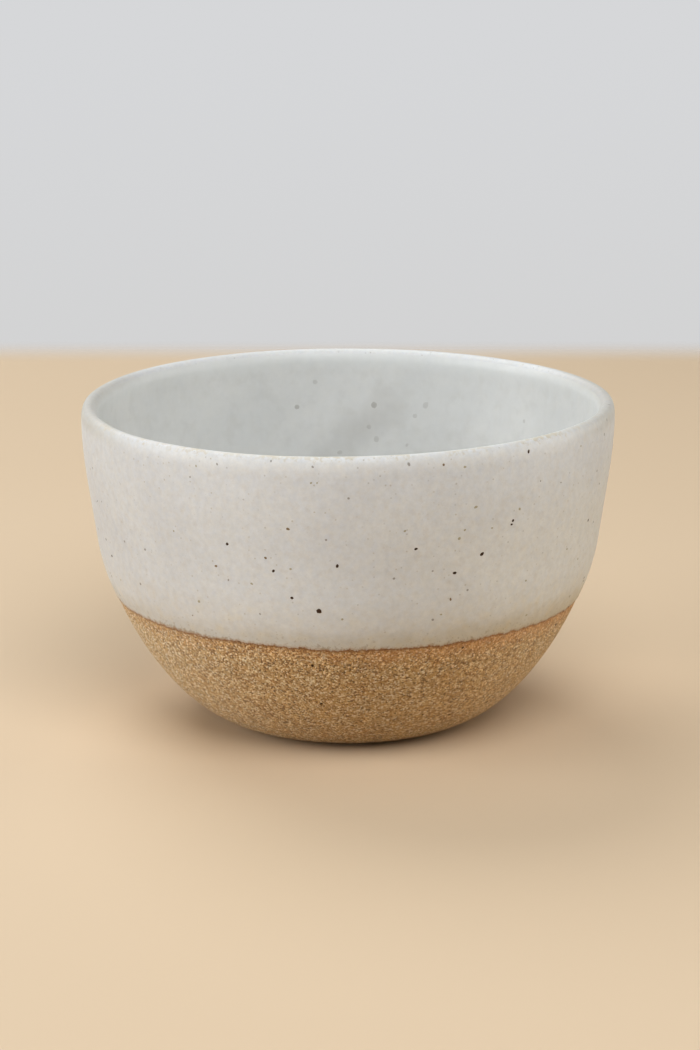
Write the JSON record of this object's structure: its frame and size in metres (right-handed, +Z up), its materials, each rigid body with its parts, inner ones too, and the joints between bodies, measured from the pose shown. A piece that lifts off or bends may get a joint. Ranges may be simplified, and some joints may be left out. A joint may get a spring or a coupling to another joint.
{
  "type": "prep bowl",
  "caption": "Hand-thrown stoneware prep bowl: deep round bowl with a glazed inside, lip and upper wall, and a bare speckled clay belly on a small turned foot.",
  "frame": {"origin": "on the bowl's axis, at the level of the foot ring that it stands on", "axes": "+Z up along the bowl's axis; the bowl is a turned form, so X and Y lie anywhere across it, and -Y faces the viewer of the picture"},
  "size_m": [0.127, 0.127, 0.077],
  "materials": {
    "stoneware": "bare, sandy, unglazed stoneware",
    "liner_glaze": "satin off-white glaze, slightly cool",
    "outer_glaze": "satin warm off-white glaze with iron specks"
  },
  "bodies": {
    "root": {"clay_body": "stoneware", "liner_glaze": "liner_glaze", "outer_glaze": "outer_glaze"}
  },
  "joints": []
}
